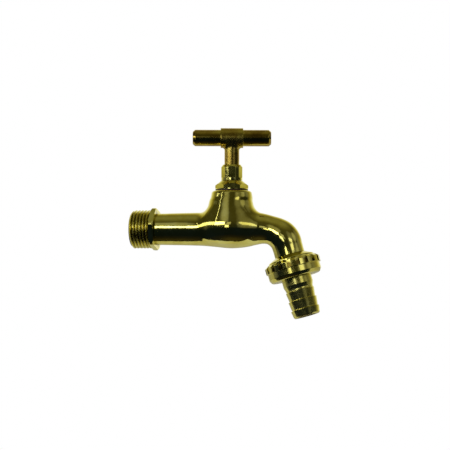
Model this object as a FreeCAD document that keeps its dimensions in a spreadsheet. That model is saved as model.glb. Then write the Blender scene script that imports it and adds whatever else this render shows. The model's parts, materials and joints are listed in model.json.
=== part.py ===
"""Water tap: a cast brass bib tap with a tee handle, a castellated union nut and a barbed hose tail.

Millimetres. +X runs from the wall along the inlet axis, +Z is up. The origin is the centre of the wall
side face of the hexagon collar, where the inlet thread ends.
"""
import FreeCAD, Part
import math
import os

import Sketcher
from FreeCAD import Placement, Rotation, Vector

doc = FreeCAD.newDocument("water_tap")

# An edge thinner than this along an axis lies square to it.
FLAT = 0.01

# Driving dimensions

SIZES = [
    # Inlet: an outside G 1/2 pipe thread, then a hexagon collar that is part of the casting.
    ("inlet_thread_radius", 10.4775),
    ("inlet_thread_length", 11.3),
    ("inlet_chamfer", 1.1),
    ("inlet_bore_radius", 6.25),
    ("collar_width", 2.7),
    ("collar_flats", 21.0),
    ("collar_corner_radius", 11.75),
    ("collar_chamfer", 0.5),
    ("collar_turn", -15.5),
    # Chamber and bell, which stand on the stem axis.
    ("stem_along", 44.5),
    ("bell_top", 20.9),
    ("bell_rim_radius", 11.15),
    ("bell_rim_drop", 1.8),
    ("bell_rim_shoulder", 0.6),
    ("bell_rim_foot", 17.5),
    ("bell_foot_radius", 13.1),
    ("bell_foot_height", 10.3),
    ("bell_tuck_radius", 8.2),
    ("bell_tuck_arc", 20.0),
    ("bell_blend", 4.0),
    # Water way and valve seat inside the body.
    ("seat_hole_radius", 4.0),
    ("seat_radius", 5.6),
    ("seat_height", 2.6),
    ("chamber_floor", 1.6),
    ("chamber_radius", 9.0),
    ("chamber_top", 11.8),
    ("inlet_bore_end", -16.0),
    ("passage_start_along", -17.5),
    ("passage_start_height", -1.2),
    ("passage_fall", 10.5),
    ("passage_length", 17.8),
    ("passage_radius", 4.2),
    ("passage_foot", -7.6),
    ("spout_way_start_along", 6.5),
    ("spout_way_start_height", 4.3),
    ("spout_way_fall", 20.9),
    ("spout_way_length", 23.0),
    ("spout_way_radius", 4.8),
    # Outlet: the axis leans outwards; the end face is where the hose washer seals.
    ("outlet_along", 79.14),
    ("outlet_drop", 21.55),
    ("outlet_lean", 16.4),
    ("outlet_thread_radius", 13.17),
    ("outlet_thread_length", 4.6),
    ("outlet_neck_radius", 7.4),
    ("outlet_flare_radius", 12.6),
    ("outlet_flare_low", 5.45),
    ("outlet_flare_high", 7.95),
    ("outlet_bore_radius", 5.8),
    ("outlet_bore_top", 12.2),
    ("upper_bore_radius", 5.0),
    ("upper_bore_top", 18.0),
    # Headwork, screwed into the bell.
    ("headwork_thread_radius", 7.35),
    ("headwork_foot", 9.7),
    ("headwork_seat", 21.5),
    ("headwork_flange_height", 0.5),
    ("headwork_corner_radius", 9.0),
    ("headwork_chamfer_foot", 23.65),
    ("headwork_top", 26.2),
    ("headwork_top_radius", 5.95),
    ("headwork_flats", 15.6),
    ("hexagon_turn", 13.5),
    ("body_thread_bore", 7.4),
    ("gasket_bore", 7.42),
    ("gasket_radius", 8.9),
    ("spindle_nut_radius", 4.12),
    ("box_radius", 5.25),
    ("box_floor", 18.0),
    # Gland and packing round the stem.
    ("packing_bore", 4.1),
    ("packing_radius", 5.2),
    ("packing_height", 5.2),
    ("gland_shank_radius", 5.2),
    ("gland_bore", 4.15),
    ("gland_flange_foot", 26.4),
    ("gland_radius", 5.8),
    ("gland_flats", 11.0),
    ("gland_flats_foot", 27.9),
    ("gland_top", 35.0),
    ("gland_chamfer", 1.4),
    # Spindle and its cross boss, and the tee bar.
    ("handle_turn", 13.5),
    ("stem_radius", 4.05),
    ("spindle_foot", 5.85),
    ("pin_bore", 1.7),
    ("pin_bore_top", 10.4),
    ("clip_height", 8.2),
    ("clip_groove_radius", 2.15),
    ("clip_groove_width", 0.9),
    ("boss_height", 49.6),
    ("boss_radius", 5.425),
    ("boss_length", 12.3),
    ("boss_chamfer", 0.25),
    ("stem_flare", 0.7),
    ("stem_into_boss", 2.2),
    ("bar_radius", 4.5),
    ("bar_length", 42.8),
    ("bar_end_chamfer", 1.0),
    # Jumper: the valve plate with its pins, washer, washer plate and nut.
    ("plate_foot", 4.6),
    ("plate_height", 1.2),
    ("plate_radius", 6.6),
    ("pin_radius", 1.6),
    ("pin_top", 10.0),
    ("pin_groove_radius", 1.32),
    ("stud_radius", 1.5),
    ("stud_foot", -1.4),
    ("washer_radius", 6.2),
    ("washer_bore", 1.6),
    ("washer_height", 2.0),
    ("washer_nut_flange_radius", 3.6),
    ("washer_nut_flange_height", 0.5),
    ("washer_nut_flats", 5.5),
    ("washer_nut_height", 2.7),
    ("clip_ring_radius", 1.74),
    ("clip_ring_half_width", 0.33),
    ("clip_thickness", 0.66),
    ("clip_sweep", 315.0),
    # Union nut, with its castellated upper band.
    ("nut_drop", 5.5),
    ("nut_lip_bore", 8.45),
    ("nut_lip_height", 2.0),
    ("nut_cavity_radius", 13.27),
    ("nut_underside_radius", 12.6),
    ("nut_underside_rise", 2.0),
    ("nut_lower_radius", 14.55),
    ("nut_step_height", 5.5),
    ("nut_upper_radius", 15.2),
    ("nut_corner_height", 8.9),
    ("nut_rim_radius", 13.45),
    ("nut_rim_height", 10.2),
    ("nut_slots", 19),
    ("nut_slot_width", 2.3),
    ("nut_slot_foot", 5.8),
    ("nut_slot_floor_radius", 13.9),
    ("nut_slot_turn", 4.2),
    # Hose tail, from its free end up, and the washer above it.
    ("tail_drop", 26.7),
    ("tail_bore", 5.6),
    ("tail_end_radius", 6.75),
    ("tail_end_chamfer", 0.6),
    ("tail_end_edge", 7.25),
    ("barb_first", 4.1),
    ("barb_pitch", 5.1),
    ("barb_count", 3),
    ("barb_peak", 7.87),
    ("barb_root", 7.22),
    ("tail_neck_radius", 7.52),
    ("tail_neck_height", 15.5),
    ("tail_collar_foot", 17.6),
    ("tail_collar_radius", 8.22),
    ("tail_flange_foot", 23.2),
    ("tail_flange_top", 25.1),
    ("tail_flange_radius", 12.85),
    ("hose_washer_bore", 6.2),
    ("hose_washer_radius", 12.7),
    ("hose_washer_height", 1.6),
    # How far cutting outlines run past the metal they take away.
    ("cutter_clearance", 1.0),
    ("mill_reach", 6.0),
]

# The outside of barrel, chamber and spout is one skin through round sections: how far along and how high
# each centre is from the stem axis, its radius, and how far the run has turned down there.
RUN_SECTIONS = [
    ("root", -43.0, 0.0, 8.55, 0.0),
    ("barrel_end", -21.9, -0.02, 8.96, 0.0),
    ("chamber_rear", -8.4, -0.24, 9.58, 0.0),
    ("chamber", 0.0, -0.55, 10.03, 0.0),
    ("chamber_front", 6.7, -0.35, 9.7, 0.0),
    ("spout_root", 11.75, 0.15, 9.12, 2.0),
    ("spout_neck", 17.6, 0.05, 8.2, 8.0),
    ("bend_start", 21.67, -0.72, 7.84, 16.5),
    ("bend_upper", 25.5, -2.15, 8.14, 32.0),
    ("bend_middle", 28.08, -3.9, 8.5, 46.0),
    ("bend_lower", 30.0, -6.35, 8.5, 60.0),
    ("bend_end", 31.14, -9.65, 8.3, 73.6),
    ("spout_end", 32.78, -15.22, 8.3, 73.6),
]

# The first and last section of the chamber, whose swell is one smooth skin.
CHAMBER_ENDS = (1, 6)

SECTION_QUANTITIES = ("along", "height", "radius", "turn")


def section_sizes(way, sections):
    """Sheet rows for a run of sections, with aliases such as run_bend_upper_radius."""
    return [("%s_%s_%s" % (way, label, quantity), value)
            for label, *values in sections
            for quantity, value in zip(SECTION_QUANTITIES, values)]


sheet = doc.addObject("Spreadsheet::Sheet", "Size")
rows = SIZES + section_sizes("run", RUN_SECTIONS)
for row, (alias, value) in enumerate(rows, start=1):
    sheet.set("A%d" % row, alias)
    sheet.set("B%d" % row, repr(value))
    sheet.setAlias("B%d" % row, alias)
doc.recompute()


def value_of(expression):
    """The number that an expression over the sheet gives."""
    result = sheet.evalExpression(str(expression))
    return float(getattr(result, "Value", result))


# Bodies, sketches and features

def new_body(name):
    body = doc.addObject("PartDesign::Body", name)
    body.Label = name
    return body


def origin_part(body, role):
    return next(item for item in body.Origin.OriginFeatures if item.Role == role)


def new_sketch(body, name, plane="XZ_Plane", shift=None, tilt_axis=None, tilt=None):
    """A sketch on one of the body's origin planes, shifted and tilted by expressions."""
    sketch = body.newObject("Sketcher::SketchObject", name)
    sketch.AttachmentSupport = [(origin_part(body, plane), "")]
    sketch.MapMode = "FlatFace"
    if tilt_axis is not None:
        sketch.AttachmentOffset = Placement(Vector(), Rotation(Vector(*tilt_axis), value_of(tilt)))
        sketch.setExpression("AttachmentOffset.Rotation.Angle", str(tilt))
    for letter, expression in (shift or {}).items():
        sketch.setExpression("AttachmentOffset.Base." + letter, str(expression))
    return sketch


def constrain(sketch, kind, places, expression):
    """A distance or radius constraint that follows an expression."""
    index = sketch.addConstraint(Sketcher.Constraint(kind, *places, value_of(expression)))
    sketch.setExpression("Constraints[%d]" % index, str(expression))


def pin_point(sketch, edge, end, across, up):
    """Hold one end of an edge at a place measured from the sketch origin."""
    for kind, axis, expression in (("DistanceX", -2, across), ("DistanceY", -1, up)):
        if str(expression) == "0":
            sketch.addConstraint(Sketcher.Constraint("PointOnObject", edge, end, axis))
        else:
            constrain(sketch, kind, (-1, 1, edge, end), expression)


def draw_outline(sketch, corners):
    """A closed outline through corners (across, up). A third entry is the radius of the arc that leads to
    that corner, which bulges to the right of the way there."""
    points = [Vector(value_of(corner[0]), value_of(corner[1]), 0) for corner in corners]
    ends = []
    for index, start in enumerate(points):
        following = (index + 1) % len(corners)
        finish = points[following]
        corner = corners[following]
        if len(corner) == 2:
            edge = sketch.addGeometry(Part.LineSegment(start, finish), False)
            ends.append((edge, 1, 2))
            continue
        radius = value_of(corner[2])
        chord = finish - start
        half = chord.Length / 2
        rise = math.sqrt(max(radius * radius - half * half, 0.0))
        normal = Vector(-chord.y, chord.x, 0).normalize()
        centre = (start + finish) * 0.5 + normal * rise
        angles = [math.atan2(point.y - centre.y, point.x - centre.x) for point in (start, finish)]
        circle = Part.Circle(centre, Vector(0, 0, 1), radius)
        edge = sketch.addGeometry(Part.ArcOfCircle(circle, *angles), False)
        ends.append((edge, 1, 2))
        constrain(sketch, "Radius", (edge,), corner[2])
    for index, (edge, start, finish) in enumerate(ends):
        following_edge, following_start, _ = ends[(index + 1) % len(ends)]
        sketch.addConstraint(Sketcher.Constraint("Coincident", edge, finish, following_edge, following_start))
    for (edge, start, _), corner in zip(ends, corners):
        pin_point(sketch, edge, start, corner[0], corner[1])


def draw_circle(sketch, radius, across="0", up="0"):
    circle = Part.Circle(Vector(value_of(across), value_of(up), 0), Vector(0, 0, 1), value_of(radius))
    edge = sketch.addGeometry(circle, False)
    pin_point(sketch, edge, 3, across, up)
    constrain(sketch, "Radius", (edge,), radius)


def check_change(body, before, adds, name):
    """A feature that points away from the solid changes nothing and reports nothing, so look."""
    after = body.Shape.Volume
    changed = after > before + 1e-6 if adds else after < before - 1e-6
    if not changed:
        raise RuntimeError("%s changes nothing" % name)


def finish_feature(body, feature, adds=True):
    before = body.Shape.Volume if body.Shape and not body.Shape.isNull() else 0.0
    doc.recompute()
    if not feature.isValid():
        raise RuntimeError("%s of %s failed" % (feature.Name, body.Name))
    check_change(body, before, adds, feature.Name)
    return feature


def turned(body, name, corners, cut=False, axis="V_Axis", sweep="360", **place):
    """Revolve an outline of (radius, height) corners, as a lathe would."""
    sketch = new_sketch(body, name + "_outline", **place)
    draw_outline(sketch, corners)
    kind = "PartDesign::Groove" if cut else "PartDesign::Revolution"
    feature = body.newObject(kind, name)
    feature.Profile = sketch
    feature.ReferenceAxis = (sketch, [axis])
    feature.setExpression("Angle", sweep)
    return finish_feature(body, feature, adds=not cut)


def ring(name, inner, outer, foot, height):
    """A plain flat ring round the stem axis, from foot up to foot + height."""
    body = new_body(name)
    top = "%s + %s" % (foot, height)
    turned(body, "turned_ring", [(inner, foot), (outer, foot), (outer, top), (inner, top)])
    on_stem_axis(body)
    return body


def on_stem_axis(body, turn=None):
    """Stand a body on the stem axis, turned round it where a turn is given."""
    if turn is not None:
        body.Placement = Placement(Vector(), Rotation(Vector(0, 0, 1), value_of(turn)))
        body.setExpression("Placement.Rotation.Angle", turn)
    body.setExpression("Placement.Base.x", "Size.stem_along")


def flats(body, name, across_flats, foot, top, turn, plane="XY_Plane", axis="Z_Axis"):
    """Mill six flats on a turned blank: one side cut, repeated round the axis."""
    sketch = new_sketch(body, name + "_outline", plane=plane, shift={"z": foot}, tilt_axis=(0, 0, 1), tilt=turn)
    half = "%s / 2" % across_flats
    reach = half + " + Size.mill_reach"
    draw_outline(sketch, [("-" + half, half), ("-" + half, reach), (half, reach), (half, half)])
    cut = body.newObject("PartDesign::Pocket", name)
    cut.Profile = sketch
    cut.Reversed = True
    cut.setExpression("Length", "%s - (%s)" % (top, foot))
    finish_feature(body, cut, adds=False)
    pattern = body.newObject("PartDesign::PolarPattern", name + "_round")
    pattern.Originals = [cut]
    pattern.Axis = (origin_part(body, axis), [""])
    pattern.Angle = 360.0
    pattern.Occurrences = 6
    body.Tip = pattern
    return finish_feature(body, pattern, adds=False)


def section_sketches(body, way, sections):
    """Round sections square to the run, each on the plane that faces along it."""
    sketches = []
    for label, _, _, _, _ in sections:
        stem = "Size.%s_%s_" % (way, label)
        sketch = new_sketch(body, "%s_%s" % (way, label), plane="YZ_Plane", tilt_axis=(1, 0, 0),
                            tilt=stem + "turn",
                            shift={"y": stem + "height", "z": "Size.stem_along + %salong" % stem})
        draw_circle(sketch, stem + "radius")
        sketches.append(sketch)
    return sketches


def loft(body, name, sketches, cut=False, ruled=True):
    kind = "PartDesign::SubtractiveLoft" if cut else "PartDesign::AdditiveLoft"
    feature = body.newObject(kind, name)
    feature.Profile = sketches[0]
    feature.Sections = sketches[1:]
    feature.Ruled = ruled
    feature.Closed = False
    return finish_feature(body, feature, adds=not cut)


def round_edges(body, name, radius, chosen, kind="PartDesign::Fillet"):
    """Round, or with a chamfer kind break, the edges of the tip that chosen(edge) picks."""
    base = body.Tip
    names = ["Edge%d" % (index + 1) for index, edge in enumerate(base.Shape.Edges) if chosen(edge)]
    if not names:
        raise RuntimeError("%s finds no edge" % name)
    feature = body.newObject(kind, name)
    feature.Base = (base, names)
    feature.setExpression("Radius" if kind.endswith("Fillet") else "Size", radius)
    doc.recompute()
    if not feature.isValid():
        raise RuntimeError("%s of %s failed" % (name, body.Name))
    return feature


# The cast body

def blend_bell(body):
    """Round the hollow line where the bell grows out of the barrel, a wavy ring round the stem axis."""
    def joins_bell_and_barrel(edge):
        box = edge.BoundBox
        round_stem = box.XMin < value_of("Size.stem_along") < box.XMax
        wavy = box.ZLength > FLAT and box.ZMax < value_of("Size.bell_foot_height")
        return edge.isClosed() and round_stem and wavy
    round_edges(body, "bell_blend", "Size.bell_blend", joins_bell_and_barrel)


def outlet_sketch_place():
    """The outlet features are drawn on the outlet axis, upwards from the end face."""
    return {"shift": {"x": "Size.outlet_along", "y": "-Size.outlet_drop"},
            "tilt_axis": (0, 0, 1), "tilt": "Size.outlet_lean"}


def tap_body():
    body = new_body("tap_body")
    run = section_sketches(body, "run", RUN_SECTIONS)
    first, last = CHAMBER_ENDS
    loft(body, "chamber_skin", run[first:last + 1], ruled=False)
    loft(body, "barrel", run[:first + 1])
    loft(body, "spout", run[last:])
    stem = {"x": "Size.stem_along"}
    tuck = "Size.bell_tuck_arc - Size.bell_foot_radius + Size.bell_tuck_radius"
    tuck_height = "Size.bell_foot_height - sqrt(Size.bell_tuck_arc ^ 2 - (%s) ^ 2)" % tuck
    turned(body, "bell", [
        ("0", tuck_height),
        ("Size.bell_tuck_radius", tuck_height),
        ("Size.bell_foot_radius", "Size.bell_foot_height", "Size.bell_tuck_arc"),
        ("Size.bell_rim_radius", "Size.bell_rim_foot"),
        ("Size.bell_rim_radius", "Size.bell_top - Size.bell_rim_drop"),
        ("Size.bell_rim_radius - Size.bell_rim_shoulder", "Size.bell_top - Size.bell_rim_shoulder"),
        ("Size.bell_rim_radius - Size.bell_rim_drop", "Size.bell_top"),
        ("0", "Size.bell_top"),
    ], shift=stem)
    blend_bell(body)
    turned(body, "outlet_boss", [
        ("0", "0"),
        ("Size.outlet_thread_radius", "0"),
        ("Size.outlet_thread_radius", "Size.outlet_thread_length"),
        ("Size.outlet_flare_radius", "Size.outlet_thread_length"),
        ("Size.outlet_flare_radius", "Size.outlet_flare_low"),
        ("Size.outlet_neck_radius", "Size.outlet_flare_high"),
        ("0", "Size.outlet_flare_high"),
    ], **outlet_sketch_place())
    turned(body, "inlet_collar", [
        ("0", "0"),
        ("0", "Size.collar_corner_radius - Size.collar_chamfer"),
        ("Size.collar_chamfer", "Size.collar_corner_radius"),
        ("Size.collar_width - Size.collar_chamfer", "Size.collar_corner_radius"),
        ("Size.collar_width", "Size.collar_corner_radius - Size.collar_chamfer"),
        ("Size.collar_width", "0"),
    ], axis="H_Axis")
    flats(body, "collar_flat", "Size.collar_flats", "0", "Size.collar_width", "Size.collar_turn",
          plane="YZ_Plane", axis="X_Axis")
    turned(body, "inlet_spigot", [
        ("-Size.inlet_thread_length", "0"),
        ("-Size.inlet_thread_length", "Size.inlet_thread_radius - Size.inlet_chamfer"),
        ("-Size.inlet_thread_length + Size.inlet_chamfer", "Size.inlet_thread_radius"),
        ("0", "Size.inlet_thread_radius"),
        ("0", "0"),
    ], axis="H_Axis")
    cut_water_way(body, stem)
    return body


def falling_bore(body, name):
    """A straight bore in the middle plane that falls away from the wall."""
    way = "Size.%s_" % name
    turned(body, name, [
        ("0", "0"),
        ("0", way + "radius"),
        (way + "length", way + "radius"),
        (way + "length", "0"),
    ], axis="H_Axis", cut=True, tilt_axis=(0, 0, 1), tilt="-%sfall" % way,
        shift={"x": "Size.stem_along + %sstart_along" % way, "y": way + "start_height"})


def cut_water_way(body, stem):
    """Inlet bore, falling passage under the seat, seat hole, chamber, and the fall down the spout."""
    bore_end = "Size.stem_along + Size.inlet_bore_end"
    turned(body, "inlet_bore", [
        ("-Size.inlet_thread_length", "0"),
        ("-Size.inlet_thread_length", "Size.inlet_bore_radius"),
        (bore_end, "Size.inlet_bore_radius"),
        (bore_end, "0"),
    ], axis="H_Axis", cut=True)
    falling_bore(body, "passage")
    turned(body, "seat_hole", [
        ("0", "Size.passage_foot"),
        ("Size.seat_hole_radius", "Size.passage_foot"),
        ("Size.seat_hole_radius", "Size.seat_height"),
        ("Size.seat_radius", "Size.seat_height"),
        ("Size.seat_radius", "Size.chamber_floor"),
        ("Size.chamber_radius", "Size.chamber_floor"),
        ("Size.chamber_radius", "Size.chamber_top"),
        ("Size.body_thread_bore", "Size.chamber_top"),
        ("Size.body_thread_bore", "Size.bell_top"),
        ("0", "Size.bell_top"),
    ], shift=stem, cut=True)
    falling_bore(body, "spout_way")
    turned(body, "outlet_bore", [
        ("0", "0"),
        ("Size.outlet_bore_radius", "0"),
        ("Size.outlet_bore_radius", "Size.outlet_bore_top"),
        ("Size.upper_bore_radius", "Size.outlet_bore_top"),
        ("Size.upper_bore_radius", "Size.upper_bore_top"),
        ("0", "Size.upper_bore_top"),
    ], cut=True, **outlet_sketch_place())


# Headwork and gland

def headwork():
    body = new_body("headwork")
    hexagon_foot = "Size.headwork_seat + Size.headwork_flange_height"
    turned(body, "turned_blank", [
        ("Size.spindle_nut_radius", "Size.headwork_foot"),
        ("Size.headwork_thread_radius", "Size.headwork_foot"),
        ("Size.headwork_thread_radius", "Size.headwork_seat"),
        ("Size.headwork_corner_radius", "Size.headwork_seat"),
        ("Size.headwork_corner_radius", "Size.headwork_chamfer_foot"),
        ("Size.headwork_top_radius", "Size.headwork_top"),
        ("Size.box_radius", "Size.headwork_top"),
        ("Size.box_radius", "Size.box_floor"),
        ("Size.spindle_nut_radius", "Size.box_floor"),
    ])
    flats(body, "hexagon_flat", "Size.headwork_flats", hexagon_foot, "Size.headwork_top",
          "Size.hexagon_turn")
    on_stem_axis(body)
    return body


def gland_nut():
    """A screwed gland: round flange, six flats above it and a threaded shank into the packing box."""
    body = new_body("gland_nut")
    shank_foot = "Size.box_floor + Size.packing_height"
    turned(body, "turned_blank", [
        ("Size.gland_bore", shank_foot),
        ("Size.gland_shank_radius", shank_foot),
        ("Size.gland_shank_radius", "Size.gland_flange_foot"),
        ("Size.gland_radius", "Size.gland_flange_foot"),
        ("Size.gland_radius", "Size.gland_top - Size.gland_chamfer"),
        ("Size.gland_radius - Size.gland_chamfer", "Size.gland_top"),
        ("Size.gland_bore", "Size.gland_top"),
    ])
    flats(body, "hexagon_flat", "Size.gland_flats", "Size.gland_flats_foot", "Size.gland_top",
          "Size.hexagon_turn")
    on_stem_axis(body)
    return body


def gland_packing():
    """The soft packing that the gland presses round the stem."""
    return ring("gland_packing", "Size.packing_bore", "Size.packing_radius", "Size.box_floor",
                "Size.packing_height")


def headwork_gasket():
    return ring("headwork_gasket", "Size.gasket_bore", "Size.gasket_radius", "Size.bell_top",
                "Size.headwork_seat - Size.bell_top")


# Spindle and tee handle

def spindle():
    """Stem with a cross boss on top, a double start thread below and a bore for the jumper's pin."""
    body = new_body("spindle")
    boss_foot = "Size.boss_height - Size.boss_radius"
    stem_end = boss_foot + " + Size.stem_into_boss"
    turned(body, "stem", [
        ("0", "Size.pin_bore_top"),
        ("Size.pin_bore", "Size.pin_bore_top"),
        ("Size.pin_bore", "Size.clip_height + Size.clip_groove_width / 2"),
        ("Size.clip_groove_radius", "Size.clip_height + Size.clip_groove_width / 2"),
        ("Size.clip_groove_radius", "Size.clip_height - Size.clip_groove_width / 2"),
        ("Size.pin_bore", "Size.clip_height - Size.clip_groove_width / 2"),
        ("Size.pin_bore", "Size.spindle_foot"),
        ("Size.stem_radius", "Size.spindle_foot"),
        ("Size.stem_radius", boss_foot + " - Size.stem_flare"),
        ("Size.stem_radius + Size.stem_flare", stem_end),
        ("0", stem_end),
    ])
    boss_sketch = new_sketch(body, "boss_outline", plane="YZ_Plane", shift={"y": "Size.boss_height"})
    draw_circle(boss_sketch, "Size.boss_radius")
    boss = body.newObject("PartDesign::Pad", "cross_boss")
    boss.Profile = boss_sketch
    boss.SideType = "Symmetric"
    boss.setExpression("Length", "Size.boss_length")
    finish_feature(body, boss)

    def boss_rim(edge):
        return edge.isClosed() and edge.BoundBox.XLength < FLAT
    round_edges(body, "boss_edges", "Size.boss_chamfer", boss_rim, kind="PartDesign::Chamfer")
    hole_sketch = new_sketch(body, "bar_hole_outline", plane="YZ_Plane", shift={"y": "Size.boss_height"})
    draw_circle(hole_sketch, "Size.bar_radius")
    hole = body.newObject("PartDesign::Pocket", "bar_hole")
    hole.Profile = hole_sketch
    hole.SideType = "Symmetric"
    hole.setExpression("Length", "Size.boss_length * 2")
    finish_feature(body, hole, adds=False)
    on_stem_axis(body, "Size.handle_turn")
    return body


def tee_bar():
    """The bar pressed through the boss, with its ends broken."""
    body = new_body("tee_bar")
    half, radius, broken = "Size.bar_length / 2", "Size.bar_radius", "Size.bar_end_chamfer"
    turned(body, "turned_bar", [
        ("-" + half, "0"),
        ("-" + half, "%s - %s" % (radius, broken)),
        ("-%s + %s" % (half, broken), radius),
        ("%s - %s" % (half, broken), radius),
        (half, "%s - %s" % (radius, broken)),
        (half, "0"),
    ], axis="H_Axis")
    on_stem_axis(body, "Size.handle_turn")
    body.setExpression("Placement.Base.z", "Size.boss_height")
    return body


# The valve on the seat

def jumper():
    """Valve plate with a guide pin up into the spindle and a threaded stud down through the washer."""
    body = new_body("jumper")
    plate_top = "Size.plate_foot + Size.plate_height"
    groove = "Size.clip_thickness / 2"
    turned(body, "turned_jumper", [
        ("0", "Size.stud_foot"),
        ("Size.stud_radius", "Size.stud_foot"),
        ("Size.stud_radius", "Size.plate_foot"),
        ("Size.plate_radius", "Size.plate_foot"),
        ("Size.plate_radius", plate_top),
        ("Size.pin_radius", plate_top),
        ("Size.pin_radius", "Size.clip_height - " + groove),
        ("Size.pin_groove_radius", "Size.clip_height - " + groove),
        ("Size.pin_groove_radius", "Size.clip_height + " + groove),
        ("Size.pin_radius", "Size.clip_height + " + groove),
        ("Size.pin_radius", "Size.pin_top"),
        ("0", "Size.pin_top"),
    ])
    on_stem_axis(body)
    return body


def jumper_clip():
    """Open spring ring that keeps the jumper's pin in the spindle."""
    body = new_body("jumper_clip")
    half = "Size.clip_thickness / 2"
    inner, outer = ("Size.clip_ring_radius %s Size.clip_ring_half_width" % sign for sign in "-+")
    turned(body, "turned_clip", [
        (inner, "Size.clip_height - " + half),
        (outer, "Size.clip_height - " + half),
        (outer, "Size.clip_height + " + half),
        (inner, "Size.clip_height + " + half),
    ], sweep="Size.clip_sweep")
    on_stem_axis(body)
    return body


def valve_pieces():
    """Rubber washer that closes on the seat, and the flanged nut that holds it."""
    washer_foot = "Size.plate_foot - Size.washer_height"
    hexagon_top = "%s - Size.washer_nut_flange_height" % washer_foot
    nut_foot = "%s - Size.washer_nut_height" % washer_foot
    washer = ring("valve_washer", "Size.washer_bore", "Size.washer_radius", washer_foot,
                  "Size.washer_height")
    nut = ring("washer_nut", "Size.washer_bore", "Size.washer_nut_flange_radius", nut_foot,
               "Size.washer_nut_height")
    flats(nut, "hexagon_flat", "Size.washer_nut_flats", nut_foot, hexagon_top, "Size.hexagon_turn")
    return [washer, nut]


# Hose union on the outlet axis

def on_outlet_axis(body, drop):
    """Stand a body on the outlet axis, its own zero so far below the body's end face."""
    body.Placement = Placement(Vector(), Rotation(Vector(0, 1, 0), -value_of("Size.outlet_lean")))
    body.setExpression("Placement.Rotation.Angle", "-Size.outlet_lean")
    body.setExpression("Placement.Base.x", "Size.outlet_along + %s * sin(Size.outlet_lean)" % drop)
    body.setExpression("Placement.Base.z", "-Size.outlet_drop - %s * cos(Size.outlet_lean)" % drop)


def union_nut():
    """Round nut: lip below that carries the tail's flange, plain lower band, slotted upper band."""
    body = new_body("union_nut")
    turned(body, "turned_blank", [
        ("Size.nut_lip_bore", "0"),
        ("Size.nut_underside_radius", "0"),
        ("Size.nut_lower_radius", "Size.nut_underside_rise"),
        ("Size.nut_lower_radius", "Size.nut_step_height"),
        ("Size.nut_upper_radius", "Size.nut_step_height"),
        ("Size.nut_upper_radius", "Size.nut_corner_height"),
        ("Size.nut_rim_radius", "Size.nut_rim_height"),
        ("Size.nut_cavity_radius", "Size.nut_rim_height"),
        ("Size.nut_cavity_radius", "Size.nut_lip_height"),
        ("Size.nut_lip_bore", "Size.nut_lip_height"),
    ])
    outside = "(Size.nut_upper_radius + Size.cutter_clearance)"
    slot_sketch = new_sketch(body, "slot_outline", tilt_axis=(0, 1, 0), tilt="Size.nut_slot_turn", shift={
        "x": outside + " * sin(Size.nut_slot_turn)",
        "z": outside + " * cos(Size.nut_slot_turn)",
    })
    half = "Size.nut_slot_width / 2"
    slot_top = "Size.nut_rim_height + Size.cutter_clearance"
    draw_outline(slot_sketch, [
        ("-" + half, "Size.nut_slot_foot"),
        (half, "Size.nut_slot_foot"),
        (half, slot_top),
        ("-" + half, slot_top),
    ])
    slot = body.newObject("PartDesign::Pocket", "slot")
    slot.Profile = slot_sketch
    slot.setExpression("Length", outside + " - Size.nut_slot_floor_radius")
    finish_feature(body, slot, adds=False)
    pattern = body.newObject("PartDesign::PolarPattern", "slots")
    pattern.Originals = [slot]
    pattern.Axis = (origin_part(body, "Z_Axis"), [""])
    pattern.Angle = 360.0
    pattern.setExpression("Occurrences", "Size.nut_slots")
    body.Tip = pattern
    finish_feature(body, pattern, adds=False)
    on_outlet_axis(body, "Size.nut_drop")
    return body


def hose_tail():
    """Flanged tail: collar, taper and a row of barbs that let a hose on but not off."""
    body = new_body("hose_tail")
    corners = [
        ("Size.tail_bore", "0"),
        ("Size.tail_end_radius", "0"),
        ("Size.tail_end_edge", "Size.tail_end_chamfer"),
    ]
    count = int(value_of("Size.barb_count"))
    for number in range(count):
        peak = "Size.barb_first + %d * Size.barb_pitch" % number
        root = "Size.tail_neck_radius" if number == count - 1 else "Size.barb_root"
        corners.append(("Size.barb_peak", peak))
        corners.append((root, peak))
    corners += [
        ("Size.tail_neck_radius", "Size.tail_neck_height"),
        ("Size.tail_collar_radius", "Size.tail_collar_foot"),
        ("Size.tail_collar_radius", "Size.tail_flange_foot"),
        ("Size.tail_flange_radius", "Size.tail_flange_foot"),
        ("Size.tail_flange_radius", "Size.tail_flange_top"),
        ("Size.tail_bore", "Size.tail_flange_top"),
    ]
    turned(body, "turned_tail", corners)
    on_outlet_axis(body, "Size.tail_drop")
    return body


def hose_washer():
    body = new_body("hose_washer")
    turned(body, "turned_washer", [
        ("Size.hose_washer_bore", "0"),
        ("Size.hose_washer_radius", "0"),
        ("Size.hose_washer_radius", "Size.hose_washer_height"),
        ("Size.hose_washer_bore", "Size.hose_washer_height"),
    ])
    on_outlet_axis(body, "Size.hose_washer_height")
    return body


# Build, look at every object, and write one file for each piece

pieces = [tap_body(), headwork(), headwork_gasket(), gland_nut(), gland_packing()]
pieces += [spindle(), tee_bar(), jumper(), jumper_clip()]
pieces += valve_pieces()
pieces += [union_nut(), hose_tail(), hose_washer()]
doc.recompute()

for item in doc.Objects:
    if "Invalid" in item.State or "Error" in item.State:
        raise RuntimeError("%s did not build: %s" % (item.Name, item.State))
for piece in pieces:
    if piece.Shape.isNull() or not piece.Shape.isValid():
        raise RuntimeError("%s has no valid shape" % piece.Label)

os.makedirs("parts", exist_ok=True)
for piece in pieces:
    piece.Shape.exportStep("parts/%s.step" % piece.Label)
    print("%-20s %9.1f cubic mm" % (piece.Label, piece.Shape.Volume))
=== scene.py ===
import json
import math

import bmesh
import bpy
import numpy as np
from mathutils import Matrix, Quaternion, Vector


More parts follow.
